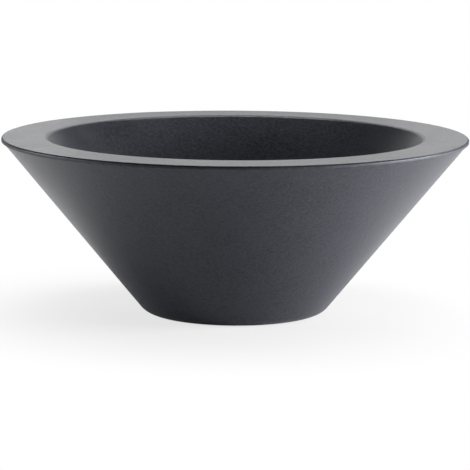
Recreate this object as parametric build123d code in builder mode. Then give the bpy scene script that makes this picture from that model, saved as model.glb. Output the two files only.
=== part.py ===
from build123d import *

import os
from math import radians, tan

# Bowl planter: a double-walled bowl, rotationally moulded in one piece from polyethylene, with the
# rubber stopper of its drain and the plug of its mould vent.
# All sizes are millimetres. Z is up, and the origin is on the ground under the middle of the foot.

# Outside of the bowl
rim_diameter = 600
bowl_height = 228
lip_height = 5           # upright band round the edge of the rim
lip_step = 2             # the wall starts this far in from the lip, at the mould's parting line
lip_radius = 2.5
foot_diameter = 230      # where the slope of the wall would meet the ground
foot_edge_radius = 24

# Inside of the bowl
rim_width = 58           # flat rim, measured to the sharp corner of the mouth
mouth_edge_radius = 8
floor_height = 42
floor_corner_radius = 22
floor_fall = 2           # the floor falls this much towards the drain
wall_thickness = 5       # one skin of the double wall

# Underside: a ring that the bowl stands on, round a recess that drained water collects in
ring_inner_diameter = 176
ring_edge_radius = 3
recess_height = 8
recess_draft = 4         # the recess is this much narrower at its ceiling
recess_corner_radius = 4

# Notches through the ring, which let the water out
notch_count = 3
notch_width = 33
notch_height = 3.5
notch_corner_radius = 2.5
first_notch_angle = -80  # degrees from +X

# Drain through both walls, with the seat of its stopper in the floor
drain_diameter = 28
drain_draft_angle = 1.5
seat_ledge = 9.5         # width of the ledge round the drain
seat_depth = 5
floor_lip_radius = 2

# Rubber drain plug
plug_clearance = 0.05    # between a sealing rib and the drain
flange_clearance = 1     # round the flange, and between its top and the floor
flange_chamfer = 1
stem_length = 20
stem_chamfer = 1.5       # leads the stem into the drain
rib_count = 3
rib_spacing = 5
top_rib_drop = 3         # from the underside of the flange
rib_height = 1
rib_slope_length = 3     # a rib slopes up and outwards over this length, to a sharp upper edge
core_diameter = 15       # the stem is hollow from below, so that it can be squeezed in
core_depth = 15
tab_width = 24
tab_height = 14
tab_thickness = 5
tab_corner_radius = 8
tab_root_radius = 1.5
grip_count = 2
grip_radius = 0.9
grip_length = 14
grip_spacing = 3.5
top_grip_drop = 5.5      # from the top of the tab

# Vent plug, pushed up into the hollow from below
vent_diameter = 8
vent_offset = 68         # from the middle of the bowl, opposite the first notch
vent_clearance = 0.05
vent_head_diameter = 14
vent_head_height = 2.2
vent_head_chamfer = 1.2
barb_gap = 0.3           # between the barb and the skin that it holds behind
barb_overhang = 0.7
barb_height = 3
barb_tip_diameter = 6

# Sizes that follow
rim_radius = rim_diameter / 2
foot_radius = foot_diameter / 2
lip_foot = bowl_height - lip_height
wall_top_radius = rim_radius - lip_step
wall_lean = (wall_top_radius - foot_radius) / lip_foot
mouth_radius = rim_radius - rim_width
floor_radius = mouth_radius - (bowl_height - floor_height) * wall_lean
ring_inner_radius = ring_inner_diameter / 2
recess_radius = ring_inner_radius - recess_draft
seat_height = floor_height - floor_fall - seat_depth
seat_radius = drain_diameter / 2 + seat_ledge
notch_angles = [first_notch_angle + 360 / notch_count * i for i in range(notch_count)]
vent_at = Vector(-vent_offset, 0, 0).rotate(Axis.Z, first_notch_angle)


def drain_radius(height):
    """Radius of the drain, which narrows downwards from the stopper's seat."""
    return drain_diameter / 2 - (seat_height - height) * tan(radians(drain_draft_angle))


# Bowl shell: the outline of one half of the bowl, each corner with its rounding, from the drain's
# mouth in the underside up to the floor, up the inner wall, over the rim and down to the foot
bowl_outline = [
    ((drain_radius(recess_height), recess_height), 0),
    ((drain_radius(seat_height), seat_height), 0),
    ((seat_radius, seat_height), 0),
    ((seat_radius, seat_height + seat_depth), floor_lip_radius),
    ((floor_radius, floor_height), floor_corner_radius),
    ((mouth_radius, bowl_height), mouth_edge_radius),
    ((rim_radius, bowl_height), lip_radius),
    ((rim_radius, lip_foot), 0),
    ((wall_top_radius, lip_foot), 0),
    ((foot_radius, 0), foot_edge_radius),
    ((ring_inner_radius, 0), ring_edge_radius),
    ((recess_radius, recess_height), recess_corner_radius),
]
corners = [corner for corner, rounding in bowl_outline]
roundings = [rounding for corner, rounding in bowl_outline]

with BuildPart() as bowl_shell:
    # The skin is what lies between the outline and the same outline moved inwards
    with BuildSketch(Plane.XZ):
        with BuildLine():
            FilletPolyline(*corners, radius=roundings, close=True)
        make_face()
        offset(amount=-wall_thickness, kind=Kind.INTERSECTION, mode=Mode.SUBTRACT)
    revolve(axis=Axis.Z)

    for angle in notch_angles:
        outwards = Plane(
            (0, 0, 0),
            x_dir=Vector(0, 1, 0).rotate(Axis.Z, angle),
            z_dir=Vector(1, 0, 0).rotate(Axis.Z, angle),
        )
        # The skin over a notch keeps its thickness, so it stands up inside the hollow
        with BuildSketch(outwards.offset(ring_inner_radius)):
            with Locations((0, notch_height)):
                Rectangle(
                    notch_width + 2 * wall_thickness,
                    wall_thickness,
                    align=(Align.CENTER, Align.MIN),
                )
        extrude(amount=foot_radius - notch_height - ring_inner_radius)
        with BuildSketch(outwards.offset(recess_radius - recess_corner_radius)):
            with BuildLine():
                half_width = notch_width / 2
                FilletPolyline(
                    (-half_width, -notch_height),
                    (-half_width, notch_height),
                    (half_width, notch_height),
                    (half_width, -notch_height),
                    radius=notch_corner_radius,
                )
                Line((half_width, -notch_height), (-half_width, -notch_height))
            make_face()
        extrude(amount=foot_radius, mode=Mode.SUBTRACT)

    with BuildSketch(Plane.XY.offset(recess_height)):
        with Locations((vent_at.X, vent_at.Y)):
            Circle(vent_diameter / 2)
    extrude(amount=2 * wall_thickness, mode=Mode.SUBTRACT)

# Drain plug: a turned rubber body with sealing ribs round its stem, and a tab to pull it by
stem_foot = seat_height - stem_length
flange_radius = seat_radius - flange_clearance
flange_top = seat_height + seat_depth - flange_clearance


def stem_radius(height):
    """Radius of the stem between its ribs, which follows the drain's draft."""
    return drain_radius(height) - plug_clearance - rib_height


with BuildPart() as drain_plug:
    with BuildSketch(Plane.XZ):
        with BuildLine():
            Polyline(
                (0, stem_foot + core_depth),
                (core_diameter / 2, stem_foot + core_depth),
                (core_diameter / 2, stem_foot),
                (stem_radius(stem_foot) - stem_chamfer, stem_foot),
                (stem_radius(stem_foot + stem_chamfer), stem_foot + stem_chamfer),
                (stem_radius(seat_height), seat_height),
                (flange_radius, seat_height),
                (flange_radius, flange_top - flange_chamfer),
                (flange_radius - flange_chamfer, flange_top),
                (0, flange_top),
                close=True,
            )
        make_face()
        for i in range(rib_count):
            rib_at = seat_height - top_rib_drop - rib_spacing * i
            with Locations((stem_radius(rib_at), rib_at)):
                Polygon((-rib_height, 0), (rib_height, 0), (0, -rib_slope_length), align=None)
    revolve(axis=Axis.Z)

    with BuildSketch(Plane.XZ) as tab:
        with Locations((0, flange_top)):
            Rectangle(tab_width, tab_height, align=(Align.CENTER, Align.MIN))
        fillet(tab.vertices().group_by(Axis.Y)[-1], tab_corner_radius)
    extrude(amount=tab_thickness / 2, both=True)
    tab_root = drain_plug.edges(Select.LAST).filter_by(GeomType.LINE).group_by(Axis.Z)[0]
    fillet(tab_root, tab_root_radius)

    for i in range(grip_count):
        grip_at = flange_top + tab_height - top_grip_drop - grip_spacing * i
        for side in (-1, 1):
            with Locations(Location((0, side * tab_thickness / 2, grip_at), (0, 90, 0))):
                Cylinder(grip_radius, grip_length)

# Vent plug: a low head against the underside, a stem through the skin and a barb behind it
vent_stem_radius = vent_diameter / 2 - vent_clearance
vent_head_radius = vent_head_diameter / 2
barb_foot = recess_height + wall_thickness + barb_gap
vent_head_foot = recess_height - vent_head_height

with BuildPart() as vent_plug:
    with BuildSketch(Plane(vent_at, x_dir=(1, 0, 0), z_dir=(0, -1, 0))):
        with BuildLine():
            Polyline(
                (0, vent_head_foot),
                (vent_head_radius - vent_head_chamfer, vent_head_foot),
                (vent_head_radius, vent_head_foot + vent_head_chamfer),
                (vent_head_radius, recess_height),
                (vent_stem_radius, recess_height),
                (vent_stem_radius, barb_foot),
                (vent_diameter / 2 + barb_overhang, barb_foot),
                (barb_tip_diameter / 2, barb_foot + barb_height),
                (0, barb_foot + barb_height),
                close=True,
            )
        make_face()
    revolve(axis=Axis(vent_at, (0, 0, 1)))

os.makedirs("parts", exist_ok=True)
bowl_shell.part.label = "bowl_shell"
drain_plug.part.label = "drain_plug"
vent_plug.part.label = "vent_plug"
export_step(bowl_shell.part, "parts/bowl_shell.step")
export_step(drain_plug.part, "parts/drain_plug.step")
export_step(vent_plug.part, "parts/vent_plug.step")
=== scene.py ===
# %% [markdown]
# # A bowl planter
# The planter is one hollow moulding of dark grey polyethylene, with a rubber stopper in its drain.
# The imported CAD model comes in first. It is the fixed frame that every piece here is built to,
# in metres, with Z up and the origin on the ground under the middle of the foot.

from math import asin, atan, ceil, cos, exp, log, pi, radians, sin, tan

import bmesh
import bpy
from mathutils import Matrix, Vector, noise


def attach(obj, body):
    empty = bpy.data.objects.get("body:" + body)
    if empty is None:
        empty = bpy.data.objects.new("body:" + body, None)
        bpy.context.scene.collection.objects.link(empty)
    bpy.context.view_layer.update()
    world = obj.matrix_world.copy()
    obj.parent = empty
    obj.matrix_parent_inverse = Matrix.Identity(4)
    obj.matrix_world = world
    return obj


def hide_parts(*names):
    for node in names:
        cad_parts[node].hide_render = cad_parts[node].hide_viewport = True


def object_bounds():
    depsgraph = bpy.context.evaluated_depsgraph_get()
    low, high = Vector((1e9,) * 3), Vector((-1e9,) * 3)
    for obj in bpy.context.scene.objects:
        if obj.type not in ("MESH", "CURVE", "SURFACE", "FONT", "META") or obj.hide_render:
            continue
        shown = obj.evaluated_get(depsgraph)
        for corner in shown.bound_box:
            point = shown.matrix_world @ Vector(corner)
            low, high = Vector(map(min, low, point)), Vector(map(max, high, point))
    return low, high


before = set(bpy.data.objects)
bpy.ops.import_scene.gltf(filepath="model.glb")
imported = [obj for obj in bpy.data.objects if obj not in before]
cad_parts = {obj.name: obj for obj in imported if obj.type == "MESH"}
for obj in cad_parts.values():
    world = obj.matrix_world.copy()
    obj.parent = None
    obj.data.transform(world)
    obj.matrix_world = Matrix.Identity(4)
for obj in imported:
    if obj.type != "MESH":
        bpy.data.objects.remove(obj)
cad_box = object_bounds()
print("CAD nodes:", sorted(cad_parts))
print("CAD box:", [round(side, 4) for side in cad_box[1] - cad_box[0]], "m")

# %% [markdown]
# ## Camera
# A product photographer stands well back and uses a long lens, so that the two ends of the rim look
# alike. A camera 12 rim radii away does the same. It could be moved by hand until the view fits,
# but a direction, a distance and a lens can be changed one at a time. It leans a third of a degree,
# because the photograph does.

# %% Place the camera
camera_distance = 3.6
camera_elevation = radians(8.675)
camera_roll = radians(0.329)
camera_turns_about = Vector((0, 0, 0.111))
camera_aims_at = Vector((0.0004, 0, 0.0991))
sensor_width_in_mm = 36
lens_in_mm = 213.4
sees_as_far_as = 200

camera = bpy.data.objects.new("camera", bpy.data.cameras.new("camera"))
bpy.context.scene.collection.objects.link(camera)
camera.location = camera_turns_about + camera_distance * Vector(
    (0, -cos(camera_elevation), sin(camera_elevation))
)
view_line = camera_aims_at - camera.location
upright = view_line.to_track_quat("-Z", "Y").to_matrix().to_4x4()
camera.matrix_world = (
    Matrix.Translation(camera.location) @ upright @ Matrix.Rotation(camera_roll, 4, "Z")
)
camera.data.sensor_width = sensor_width_in_mm
camera.data.lens = lens_in_mm
camera.data.clip_end = sees_as_far_as
bpy.context.scene.camera = camera
print("camera at", [round(x, 3) for x in camera.location], "with a", lens_in_mm, "mm lens")

# %% [markdown]
# ## Colours and shader nodes
# Colours are written as sRGB hex, the way a paint or a web page gives them, and one function turns
# them to the linear values that shaders work in. Shader nodes could be wired by hand in the node
# editor. A small function that adds a node with its settings and links says the same in text.

# %% Helpers for materials
def linear(hex_colour):
    """An sRGB hex colour, such as "#3c3d41", as linear red, green, blue and alpha."""
    channels = [int(hex_colour[i : i + 2], 16) / 255 for i in (1, 3, 5)]
    return [c / 12.92 if c <= 0.04045 else ((c + 0.055) / 1.055) ** 2.4 for c in channels] + [1]


def add_node(tree, kind, inputs=None, **settings):
    """Add a shader node. An input is a value, a socket to link, or a node, for its first output."""
    node = tree.nodes.new(kind)
    for name, value in settings.items():
        setattr(node, name, value)
    for name, value in (inputs or {}).items():
        if isinstance(value, bpy.types.Node):
            value = value.outputs[0]
        if isinstance(value, bpy.types.NodeSocket):
            tree.links.new(value, node.inputs[name])
        else:
            node.inputs[name].default_value = value
    return node


def new_material(name):
    """An empty node material and its output node."""
    material = bpy.data.materials.new(name)
    material.use_nodes = True
    material.node_tree.nodes.clear()
    return material, add_node(material.node_tree, "ShaderNodeOutputMaterial")


print("a mid grey, #808080, is", round(linear("#808080")[0], 3), "in linear light")

# %% [markdown]
# ## Floor
# The floor is one white sheet, large enough to fill the view from every side. A curved backdrop is
# the other usual way, but it would stand in the way of a view from behind.

# %% Lay the floor
floor_half_size = 60
corner_signs = ((-1, -1), (1, -1), (1, 1), (-1, 1))

floor_mesh = bpy.data.meshes.new("floor")
floor_mesh.from_pydata(
    [(x * floor_half_size, y * floor_half_size, 0) for x, y in corner_signs],
    [],
    [(0, 1, 2, 3)],
)
floor = bpy.data.objects.new("floor", floor_mesh)
bpy.context.scene.collection.objects.link(floor)
print("floor of", 2 * floor_half_size, "by", 2 * floor_half_size, "m")

# %% [markdown]
# ### White paint
# In a studio the floor is lit until it is nearly pure white, and only a soft shadow is left round
# the foot. So much light would wash out the bowl too, so here a share of the paint glows instead,
# and the glow lights nothing. Close to the bowl the camera sees mostly glow, and some paint, which
# holds the shadow. Reflections see plain paint there, with the whole shadow, and that keeps the low
# part of the wall dark. Further out both see only the glow. Under the foot nothing glows, or white
# would shine through the notches.

# %% Mix the paint and its glow
mm = 0.001
shade_kept = 0.27
foot_ring_edge = 104 * mm
foot_clear = 109 * mm
shadow_reaches = 150 * mm
white_from = 450 * mm

white_paint, output = new_material("white_paint")
tree = white_paint.node_tree
place = add_node(tree, "ShaderNodeTexCoord").outputs["Object"]
distance = add_node(tree, "ShaderNodeVectorMath", {0: place}, operation="LENGTH").outputs["Value"]
outwards = {"Value": distance, "From Min": shadow_reaches, "From Max": white_from}
reflected_share = add_node(
    tree, "ShaderNodeMapRange", outwards, interpolation_type="SMOOTHSTEP"
)
seen_share = add_node(
    tree,
    "ShaderNodeMapRange",
    {**outwards, "To Min": 1 - shade_kept},
    interpolation_type="SMOOTHSTEP",
)
outside_foot = add_node(
    tree,
    "ShaderNodeMapRange",
    {"Value": distance, "From Min": foot_ring_edge, "From Max": foot_clear},
)
print("the floor is pure white from", white_from, "m out")

# %% [markdown]
# The Light Path node tells what kind of ray has met the floor: one from the camera, a reflection,
# or one that passed through something clear. Each kind gets its own share of glow.

# %% Give each kind of ray its share
ray = add_node(tree, "ShaderNodeLightPath").outputs
straight = add_node(
    tree,
    "ShaderNodeMath",
    {0: ray["Is Camera Ray"], 1: ray["Is Transmission Ray"]},
    operation="ADD",
)
seen = add_node(tree, "ShaderNodeMath", {0: seen_share, 1: straight}, operation="MULTIPLY")
reflected = add_node(
    tree,
    "ShaderNodeMath",
    {0: reflected_share, 1: ray["Is Glossy Ray"]},
    operation="MULTIPLY",
)
share = add_node(tree, "ShaderNodeMath", {0: seen, 1: reflected}, operation="ADD")
share = add_node(tree, "ShaderNodeMath", {0: share, 1: outside_foot}, operation="MULTIPLY")
paint = add_node(tree, "ShaderNodeBsdfDiffuse", {"Color": linear("#fafafa")})
glow = add_node(tree, "ShaderNodeEmission", {"Color": linear("#ffffff"), "Strength": 1})
sheet = add_node(tree, "ShaderNodeMixShader", {0: share, 1: paint, 2: glow})

# %% [markdown]
# Seen from below, the floor isn't there, and it lets the light of a lamp below pass. So the
# underside of the bowl can be looked at without lifting the bowl.

# %% Open the floor from below
below = add_node(tree, "ShaderNodeNewGeometry").outputs["Backfacing"]
open_to = add_node(
    tree, "ShaderNodeMath", {0: below, 1: ray["Is Shadow Ray"]}, operation="MAXIMUM"
)
clear = add_node(tree, "ShaderNodeBsdfTransparent")
one_sided = add_node(tree, "ShaderNodeMixShader", {0: open_to, 1: sheet, 2: clear})
tree.links.new(one_sided.outputs[0], output.inputs["Surface"])
floor.data.materials.append(white_paint)
print("white paint of", len(tree.nodes), "nodes")

# %% [markdown]
# ## Light
# Dark plastic is lit mostly by what it reflects, so a studio lights it with large soft panels and
# keeps the camera's side dark. The strongest panel stands close by on the right, low down, because
# the wall faces downwards: it lights the top of the wall most, where the wall is nearest to it. A
# weaker one stands on the left. One high up and the ones behind the bowl, from the floor's level
# upwards, give the rim and the inside their sheen. A picture of a studio round the scene could do
# the same, but each panel here can be moved and dimmed by itself.
# A panel is placed like the hand of a clock: its turn is counted from behind the bowl, clockwise
# seen from above, and its climb is its angle above the floor.

# %% Hang the light panels
panels_aim_at = Vector((0, 0, 0.15))
near = {"distance": 1.2, "width": 0.7, "height": 0.35}
far = {"distance": 3, "width": 1.5, "height": 0.5}
far_and_tall = {"distance": 3, "width": 1.5, "height": 1.0}


def light_panel(name, turn, climb, radiance, distance, width, height):
    """A soft light panel, at angles in degrees. Radiance is how bright its face looks."""
    data = bpy.data.lights.new(name, "AREA")
    data.shape = "RECTANGLE"
    data.size = width
    data.size_y = height
    data.energy = radiance * pi * width * height
    panel = bpy.data.objects.new(name, data)
    bpy.context.scene.collection.objects.link(panel)
    turn, climb = radians(turn), radians(climb)
    outwards = Vector((sin(turn) * cos(climb), cos(turn) * cos(climb), sin(climb)))
    panel.location = panels_aim_at + outwards * distance
    panel.rotation_euler = (-outwards).to_track_quat("-Z", "Y").to_euler()
    panel.visible_camera = False
    print(name, "at", [round(x, 2) for x in panel.location], "of", round(data.energy, 1), "W")


light_panel("right_panel", turn=100, climb=6, radiance=31, **near)
light_panel("left_panel", turn=270, climb=6, radiance=7.2, **near)
light_panel("overhead_panel", turn=0, climb=65, radiance=7.6, **near)
light_panel("right_back_panel", turn=60, climb=30, radiance=2, **near)
light_panel("right_rim_panel", turn=30, climb=18, radiance=0.36, **near)
light_panel("left_rim_panel", turn=-30, climb=18, radiance=0.5, **near)
light_panel("floor_level_panel", turn=0, climb=4, radiance=0.55, **far)
light_panel("back_panel", turn=0, climb=14, radiance=1.25, **far)
light_panel("high_back_panel", turn=0, climb=32, radiance=2.1, **far_and_tall)

# %% [markdown]
# A spot lamp under the floor shows the underside. Its beam is as wide as the foot, and the lamp is
# small, so that its light touches nothing else.

# %% Light the underside
spot_distance = 1.5
spot_reaches = 0.102
spot_level = 0.8  # how bright a white board at the foot would look
spot_soft_edge = 0.1
spot_radius = 0.005

spot = bpy.data.lights.new("underside_spot", "SPOT")
spot.energy = spot_level * (2 * pi * spot_distance) ** 2
spot.spot_size = 2 * atan(spot_reaches / spot_distance)
spot.spot_blend = spot_soft_edge
spot.shadow_soft_size = spot_radius
underside_spot = bpy.data.objects.new("underside_spot", spot)
underside_spot.location = (0, 0, -spot_distance)
underside_spot.rotation_euler = (pi, 0, 0)
underside_spot.visible_camera = False
bpy.context.scene.collection.objects.link(underside_spot)
print("underside spot of", round(spot.energy, 1), "W")

# %% [markdown]
# A room is never quite dark, so the world adds a trace of white light from all sides. The view
# transform Standard shows each colour as it is, where others would flatten the whites.

# %% Fill the darkest places
world_strength = 0.03

world = bpy.data.worlds.new("studio")
bpy.context.scene.world = world
world.use_nodes = True
world.node_tree.nodes["Background"].inputs["Color"].default_value = linear("#ffffff")
world.node_tree.nodes["Background"].inputs["Strength"].default_value = world_strength
bpy.context.scene.view_settings.view_transform = "Standard"
print("world at", world_strength)

# %% [markdown]
# ## The bowl's outline
# A rotationally moulded bowl is a turned shape, so half of its outline says nearly everything. Each
# corner has the rounding that the mould gives it. A Bevel modifier could round them, but with one
# width for all. The function below sets an arc in each corner and cuts long straight stretches into
# even steps, so that the mesh has points everywhere.

# %% Round an outline
def rounded(corners, turn_per_step=radians(7.5), fewest_steps=3, longest=8 * mm):
    """The points of a closed outline. Each corner is ((radius, height), rounding)."""
    points = []
    for i, (corner, rounding) in enumerate(corners):
        here = Vector(corner)
        before = (Vector(corners[i - 1][0]) - here).normalized()
        after = (Vector(corners[(i + 1) % len(corners)][0]) - here).normalized()
        half_angle = before.angle(after) / 2
        turn = pi - 2 * half_angle
        centre = here + (before + after).normalized() * rounding / sin(half_angle)
        start = here + before * rounding / tan(half_angle) - centre
        side = -1 if before.cross(after) > 0 else 1
        steps = max(fewest_steps, ceil(turn / turn_per_step))
        for k in range(steps + 1):
            angle = side * turn * k / steps
            x = start.x * cos(angle) - start.y * sin(angle)
            z = start.x * sin(angle) + start.y * cos(angle)
            points.append(centre + Vector((x, z)))
    filled = []
    for i, point in enumerate(points):
        gap = point - points[i - 1]
        steps = max(1, ceil(gap.length / longest))
        filled += [points[i - 1] + gap * k / steps for k in range(1, steps + 1)]
    return filled


# %% [markdown]
# These are the sizes of the CAD model, so the bowl fits its plugs. Corners that are sharp in the CAD
# model get a small rounding here: a mould can't hold a sharp edge, and light finds every edge.

# %% Sizes of the bowl
rim_radius = cad_box[1].x
bowl_height = cad_box[1].z
lip_height = 5 * mm
lip_step = 2 * mm
lip_radius = 2.5 * mm
foot_radius = 115 * mm
foot_edge_radius = 24 * mm
rim_width = 58 * mm
mouth_edge_radius = 8 * mm
floor_height = 42 * mm
floor_corner_radius = 22 * mm
ring_inner_radius = 88 * mm
ring_edge_radius = 3 * mm
recess_height = 8 * mm
recess_draft = 4 * mm
recess_corner_radius = 4 * mm
drain_radius = 14 * mm
drain_draft = tan(radians(1.5))
drain_edge_radius = 1.5 * mm
seat_radius = 23.5 * mm
seat_height = 35 * mm
seat_depth = 5 * mm
seat_edge_radius = 2 * mm
softened = 0.8 * mm

# %% [markdown]
# The outline runs from the drain's mouth in the underside up to the floor, up the inner wall, over
# the rim and down to the foot. Each corner is given with its rounding.

# %% Draw the outline
lip_foot = bowl_height - lip_height
wall_top_radius = rim_radius - lip_step
wall_lean = (wall_top_radius - foot_radius) / lip_foot
mouth_radius = rim_radius - rim_width
floor_radius = mouth_radius - (bowl_height - floor_height) * wall_lean
drain_mouth_radius = drain_radius - (seat_height - recess_height) * drain_draft

bowl_outline = [
    ((drain_mouth_radius, recess_height), drain_edge_radius),
    ((drain_radius, seat_height), softened),
    ((seat_radius, seat_height), softened),
    ((seat_radius, seat_height + seat_depth), seat_edge_radius),
    ((floor_radius, floor_height), floor_corner_radius),
    ((mouth_radius, bowl_height), mouth_edge_radius),
    ((rim_radius, bowl_height), lip_radius),
    ((rim_radius, lip_foot), softened),
    ((wall_top_radius, lip_foot), softened),
    ((foot_radius, 0), foot_edge_radius),
    ((ring_inner_radius, 0), ring_edge_radius),
    ((ring_inner_radius - recess_draft, recess_height), recess_corner_radius),
]
outline = rounded(bowl_outline)
print("outline of", len(outline), "points")

# %% [markdown]
# ## Notches in the foot ring
# Three shallow notches let water out from under the bowl. They could be cut with a Boolean, but that
# leaves ragged faces that shade badly. Here the mesh's own columns are bent to run along each
# notch, and the points between its walls are lifted to its ceiling, so every edge stays soft.
# Half of a notch's section is enough: its flat ceiling, the rounded corner, the edge at its foot,
# and then even steps out to where the columns run straight again.

# %% Draw half of a notch
columns = 420
column_turn = 2 * pi / columns
notch_count = 3
first_notch_angle = radians(-80)
notch_half_width = 16.5 * mm
notch_height = 3.5 * mm
notch_corner_radius = 2.5 * mm
notch_edge_radius = 0.8 * mm
even_step = 2 * mm
flat_columns = 7
bent_columns = 44

corner_across = notch_half_width - notch_corner_radius
corner_up = notch_height - notch_corner_radius
half_section = [(k * even_step, notch_height) for k in range(flat_columns)]
for angle in (radians(0), radians(30), radians(60), radians(90)):
    across = corner_across + notch_corner_radius * sin(angle)
    half_section.append((across, corner_up + notch_corner_radius * cos(angle)))
for angle in (radians(0), radians(45), radians(90)):
    across = notch_half_width + notch_edge_radius * (1 - cos(angle))
    half_section.append((across, notch_edge_radius * (1 - sin(angle))))
steep_columns = len(half_section)
section_foot = half_section[-1][0]
for k in range(1, bent_columns - steep_columns + 1):
    half_section.append((section_foot + even_step * k, 0))
print("half of a notch in", steep_columns, "columns, then", bent_columns - steep_columns, "more")

# %% [markdown]
# Two soft rules keep creases out of the mesh. One fades the bending in and out, and the other joins
# the notch's ceiling to the ring's rounded edges without a corner.

# %% Shape the notches
bend_fades_in = (50 * mm, 78 * mm)
bend_fades_out = (126 * mm, 170 * mm)
inside_from = 30 * mm
notch_runs_in = 6 * mm


def smoothstep(low, high, value):
    """Rise softly from 0 at low to 1 at high."""
    t = min(1, max(0, (value - low) / (high - low)))
    return t * t * (3 - 2 * t)


def soft_maximum(a, b, softness=0.35 * mm):
    """The larger of two lengths, with a soft change from one to the other."""
    larger, smaller = max(a, b), min(a, b)
    return larger + softness * log(1 + exp((smaller - larger) / softness))


def turned_point(radius, height, column):
    """Where a point of the outline goes in a column, counted from the first notch."""
    to_next = columns // notch_count
    nearest = round(column / to_next) * to_next
    along = column - nearest
    angle = along * column_turn
    if abs(along) < bent_columns:
        offset, ceiling = half_section[abs(along)]
        bend = 1 - smoothstep(steep_columns, bent_columns, abs(along))
        bend *= smoothstep(*bend_fades_in, radius) * (1 - smoothstep(*bend_fades_out, radius))
        if height > inside_from and radius < floor_radius:
            bend = 0
        if bend > 0:
            parallel = asin(min(1, offset / radius)) * (1 if along >= 0 else -1)
            angle += bend * (parallel - angle)
        on_ring = height < 2 * notch_height and radius > ring_inner_radius - notch_runs_in
        if ceiling > 0 and on_ring:
            height = soft_maximum(height, ceiling)
    angle += first_notch_angle + nearest * column_turn
    return Vector((radius * cos(angle), radius * sin(angle), height))


# %% [markdown]
# ## The bowl
# The outline is turned by code, column by column. A Screw modifier would turn it as well, but it
# couldn't bend the columns at the notches.

# %% Turn the outline
shell = bmesh.new()
rings = [
    [shell.verts.new(turned_point(p.x, p.y, k)) for p in outline]
    for k in range(columns)
]
for k in range(columns):
    here, there = rings[k - 1], rings[k]
    for i in range(len(outline)):
        shell.faces.new((here[i - 1], here[i], there[i], there[i - 1]))
bmesh.ops.recalc_face_normals(shell, faces=shell.faces)
shell.normal_update()
print("turned", len(shell.faces), "faces")

# %% [markdown]
# A turned mould is true, but the moulding cools unevenly and its walls pull in by a tenth of a
# millimetre or two. That shows only in the reflections, which wander a little. A Displace modifier
# could do it. Here the points are moved inwards by a slow noise, never outwards, so the bowl keeps
# its size, and the drain and the recess stay as they are, so the plugs fit.

# %% Pull the walls in
wave_depth = 0.25 * mm
wave_length = 70 * mm
wave_fades_in = (80 * mm, 130 * mm)

for vertex in shell.verts:
    inwards = -vertex.normal
    wave = 0.5 + 0.5 * noise.noise(vertex.co / wave_length)
    reach = smoothstep(*wave_fades_in, vertex.co.xy.length)
    vertex.co += inwards * wave_depth * wave * reach

# %% [markdown]
# Smooth shading with weighted normals keeps the flat rim flat up to its rounded edges. The piece
# rides on the bowl's body and stands in for the CAD shell.

# %% Put the bowl in place
large_faces_lead = 100

shell_mesh = bpy.data.meshes.new("bowl")
shell.to_mesh(shell_mesh)
shell.free()
for polygon in shell_mesh.polygons:
    polygon.use_smooth = True
bowl = bpy.data.objects.new("bowl", shell_mesh)
bpy.context.scene.collection.objects.link(bowl)
bowl.modifiers.new("weighted normals", "WEIGHTED_NORMAL").weight = large_faces_lead
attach(bowl, "bowl")
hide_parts("bowl_shell")
print("bowl of", len(shell_mesh.polygons), "faces")

# %% [markdown]
# ## Rotomoulded polyethylene
# Powdered polyethylene is tumbled in a hot mould until it melts and lines the walls. The skin takes
# the sandy face of a cast mould, with grains of half a millimetre that soften each reflection, and
# the pigment is never quite even. It is a satin plastic: dull where it is looked at squarely, and
# bright at a glancing angle, which the IOR gives by itself. A photographed texture would need the
# bowl unwrapped, and noise in the bowl's own space has no seam and the same size everywhere.

# %% Mix the pigment
# The real grains are too fine for this picture, so they are drawn seven times as coarse.
grain_width = 3.6 * mm
ripple_width = 9 * mm
cloud_width = 45 * mm
noise_spans = {"From Min": 0.3, "From Max": 0.7}
most_cloud = 0.35
# A Mix node has sockets for every kind of value, and these are the ones for colours.
first_colour, second_colour, mixed_colour = 6, 7, 2

rotomoulded, output = new_material("rotomoulded_polyethylene")
tree = rotomoulded.node_tree
place = add_node(tree, "ShaderNodeTexCoord").outputs["Object"]
grain, ripple, cloud = [
    add_node(tree, "ShaderNodeTexNoise", {"Vector": place, "Scale": 1 / width, "Detail": 2})
    for width in (grain_width, ripple_width, cloud_width)
]
grain_share = add_node(tree, "ShaderNodeMapRange", {"Value": grain, **noise_spans})
cloud_share = add_node(
    tree, "ShaderNodeMapRange", {"Value": cloud, **noise_spans, "To Max": most_cloud}
)
pigment = add_node(
    tree,
    "ShaderNodeMix",
    {0: grain_share, first_colour: linear("#292a31"), second_colour: linear("#3e3f47")},
    data_type="RGBA",
).outputs[mixed_colour]
pigment = add_node(
    tree,
    "ShaderNodeMix",
    {0: cloud_share, first_colour: pigment, second_colour: linear("#404149")},
    data_type="RGBA",
).outputs[mixed_colour]

# %% [markdown]
# ### Parting line, scuffs and a painted highlight
# The two halves of the mould meet under the lip. The flash that squeezes out there is trimmed by
# hand, which leaves the lip duller and a little uneven. The lip is also made paler, partly as that
# trimmed flash and partly as a painted highlight for the light its upright face catches. The foot
# is scuffed where it stands.
# Such places could be painted by hand on the mesh. Here they are found by their height and by
# their distance from the bowl's axis, so they stay right when the mesh changes.

# %% Find the lip and the foot
# Each pair says where a band starts and where it is whole.
lip_band = (290 * mm, 292 * mm)
over_seam_bottom = (221.5 * mm, 222.3 * mm)
under_seam_top = (226.5 * mm, 225.5 * mm)
scuff_band = (2.5 * mm, 0.5 * mm)

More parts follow.
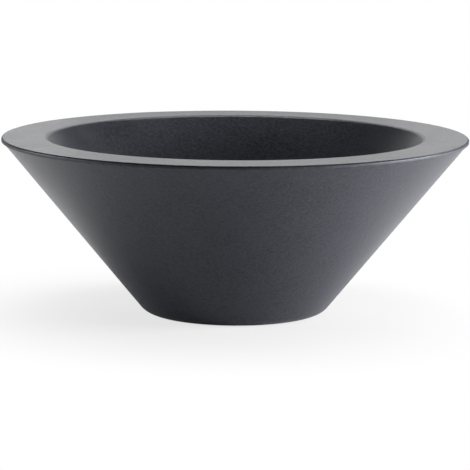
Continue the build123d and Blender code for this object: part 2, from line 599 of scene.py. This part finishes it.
height = add_node(tree, "ShaderNodeSeparateXYZ", {0: place}).outputs["Z"]
level = add_node(tree, "ShaderNodeVectorMath", {0: place, 1: (1, 1, 0)}, operation="MULTIPLY")
radius = add_node(tree, "ShaderNodeVectorMath", {0: level}, operation="LENGTH").outputs["Value"]
at_lip, over_bottom, under_top, at_foot = [
    add_node(tree, "ShaderNodeMapRange", {"Value": value, "From Min": start, "From Max": whole})
    for value, (start, whole) in (
        (radius, lip_band),
        (height, over_seam_bottom),
        (height, under_seam_top),
        (height, scuff_band),
    )
]
seam = add_node(tree, "ShaderNodeMath", {0: over_bottom, 1: under_top}, operation="MULTIPLY")
seam = add_node(tree, "ShaderNodeMath", {0: at_lip, 1: seam}, operation="MULTIPLY")

# %% [markdown]
# The ripple noise breaks the wear and the lip's painted highlight up: nearly everywhere along the
# lip, and in spots at the foot.

# %% Wear the foot, and wear the lip and paint a highlight on it
nearly_everywhere = {"From Min": 0.4, "From Max": 0.6, "To Min": 0.2}
in_spots = {"From Min": 0.5, "From Max": 0.65, "To Max": 0.8}

lip_wear_and_highlight = add_node(tree, "ShaderNodeMapRange", {"Value": ripple, **nearly_everywhere})
foot_wear = add_node(tree, "ShaderNodeMapRange", {"Value": ripple, **in_spots})
scraped_and_lit_lip = add_node(tree, "ShaderNodeMath", {0: seam, 1: lip_wear_and_highlight}, operation="MULTIPLY")
scuffed = add_node(tree, "ShaderNodeMath", {0: at_foot, 1: foot_wear}, operation="MULTIPLY")
worn_and_lit = add_node(tree, "ShaderNodeMath", {0: scraped_and_lit_lip, 1: scuffed}, operation="MAXIMUM")
# Paler: scuffs on the foot, and on the lip trimmed flash together with a painted highlight
pigment = add_node(
    tree,
    "ShaderNodeMix",
    {0: worn_and_lit, first_colour: pigment, second_colour: linear("#44454a")},
    data_type="RGBA",
).outputs[mixed_colour]

# %% [markdown]
# ### Sheen and grain
# The skin copies the grain of the mould, so its sheen is broken up. A slow ripple lies under the
# grain, and shows as faint blotches where the rim is seen at a glancing angle. Both are too shallow
# to be worth mesh points, so they are bumps in the shader, each with a depth.

# %% Set the sheen and the grain
# Under a roughness of 0.28 the denoiser takes the plastic for a mirror and leaves dark specks.
smoothest = 0.285
cloud_adds = 0.03
grain_adds = 0.06
trimmed_roughness = 0.65
ripple_bump = {"Strength": 0.35, "Distance": 0.3 * mm}
grain_bump = {"Strength": 0.6, "Distance": 0.5 * mm}

roughness = add_node(
    tree,
    "ShaderNodeMapRange",
    {"Value": cloud, **noise_spans, "To Min": smoothest, "To Max": smoothest + cloud_adds},
)
grain_roughness = add_node(
    tree, "ShaderNodeMapRange", {"Value": grain, **noise_spans, "To Max": grain_adds}
)
roughness = add_node(tree, "ShaderNodeMath", {0: roughness, 1: grain_roughness}, operation="ADD")
trimmed = add_node(tree, "ShaderNodeMath", {0: seam, 1: trimmed_roughness}, operation="MULTIPLY")
roughness = add_node(tree, "ShaderNodeMath", {0: roughness, 1: trimmed}, operation="MAXIMUM")

surface = add_node(tree, "ShaderNodeBump", {"Height": ripple, **ripple_bump})
surface = add_node(tree, "ShaderNodeBump", {"Height": grain, "Normal": surface, **grain_bump})
plastic = add_node(
    tree,
    "ShaderNodeBsdfPrincipled",
    {
        "Base Color": pigment,
        "Roughness": roughness,
        "IOR": 1.5,
        "Specular IOR Level": 0.4,
        # The pale blue tint paints the cool colour of the studio's light into the plastic's
        # reflections
        "Specular Tint": linear("#f2f6ff"),
        "Normal": surface,
    },
)
tree.links.new(plastic.outputs[0], output.inputs["Surface"])
bowl.data.materials.append(rotomoulded)
print("rotomoulded polyethylene of", len(tree.nodes), "nodes")

# %% [markdown]
# ## Small mouldings
# The stopper and the vent plug keep their CAD shape. Their edges could be rounded in the mesh, but
# at this size a Bevel node in the shader does it as well, as a mould would. It also tells where the
# edges are, so that they can be paler, where fingers rub them.

# %% Surface of a small moulding
patches_span = {"From Min": 0.35, "From Max": 0.65}
fine_width = 0.8 * mm
patch_width = 6 * mm
fine_bump = {"Strength": 0.3, "Distance": 0.05 * mm}
edge_facing = 0.8


def moulded_part(name, node_name, colours, smooth, dull, edge_radius, specular):
    """Give a CAD node a moulded surface. Colours are its dark, its pale and its rubbed one."""
    dark, pale, rubbed = [linear(colour) for colour in colours]
    material, output = new_material(name)
    tree = material.node_tree
    place = add_node(tree, "ShaderNodeTexCoord").outputs["Object"]
    fine, patches = [
        add_node(tree, "ShaderNodeTexNoise", {"Vector": place, "Scale": 1 / width, "Detail": 2})
        for width in (fine_width, patch_width)
    ]
    patchy = add_node(tree, "ShaderNodeMapRange", {"Value": patches, **patches_span})
    colour = add_node(
        tree,
        "ShaderNodeMix",
        {0: patchy, first_colour: dark, second_colour: pale},
        data_type="RGBA",
    ).outputs[mixed_colour]

    # The rounded and the flat direction differ only near an edge
    edges = add_node(tree, "ShaderNodeBevel", {"Radius": edge_radius}, samples=6)
    flat = add_node(tree, "ShaderNodeNewGeometry").outputs["Normal"]
    facing = add_node(tree, "ShaderNodeVectorMath", {0: edges, 1: flat}, operation="DOT_PRODUCT")
    edge_share = add_node(
        tree,
        "ShaderNodeMapRange",
        {"Value": facing.outputs["Value"], "From Min": 1, "From Max": edge_facing},
    )
    rubbed_share = add_node(
        tree, "ShaderNodeMath", {0: edge_share, 1: patches}, operation="MULTIPLY"
    )
    colour = add_node(
        tree,
        "ShaderNodeMix",
        {0: rubbed_share, first_colour: colour, second_colour: rubbed},
        data_type="RGBA",
    ).outputs[mixed_colour]

    sheen = {"Value": patches, **patches_span, "To Min": smooth, "To Max": dull}
    surface = add_node(
        tree,
        "ShaderNodeBsdfPrincipled",
        {
            "Base Color": colour,
            "Roughness": add_node(tree, "ShaderNodeMapRange", sheen),
            "IOR": 1.5,
            "Specular IOR Level": specular,
            "Normal": add_node(tree, "ShaderNodeBump", {"Height": fine, "Normal": edges, **fine_bump}),
        },
    )
    tree.links.new(surface.outputs[0], output.inputs["Surface"])
    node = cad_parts[node_name]
    node.data.materials.clear()
    node.data.materials.append(material)
    print(name, "is on", node_name)


# %% [markdown]
# ## Moulded rubber
# The stopper is pressed from black rubber in a steel mould. Rubber is duller than the plastic, with
# the faint marks of the mould's blasted face, and goes paler where it is bent and rubbed.

# %% Make the rubber
moulded_part(
    "moulded_rubber",
    "drain_plug",
    colours=("#1a1a1b", "#222223", "#3c3b3a"),
    smooth=0.52,
    dull=0.62,
    edge_radius=0.5 * mm,
    specular=0.4,
)

# %% [markdown]
# ## Injection-moulded polyethylene
# The vent plug is injection moulded from the same plastic as the bowl, but black and from a polished
# mould, so it shines a little more than the bowl does.

# %% Make the injection-moulded polyethylene
moulded_part(
    "injection_moulded_polyethylene",
    "vent_plug",
    colours=("#1b1b1d", "#202022", "#39393b"),
    smooth=0.32,
    dull=0.38,
    edge_radius=0.3 * mm,
    specular=0.45,
)
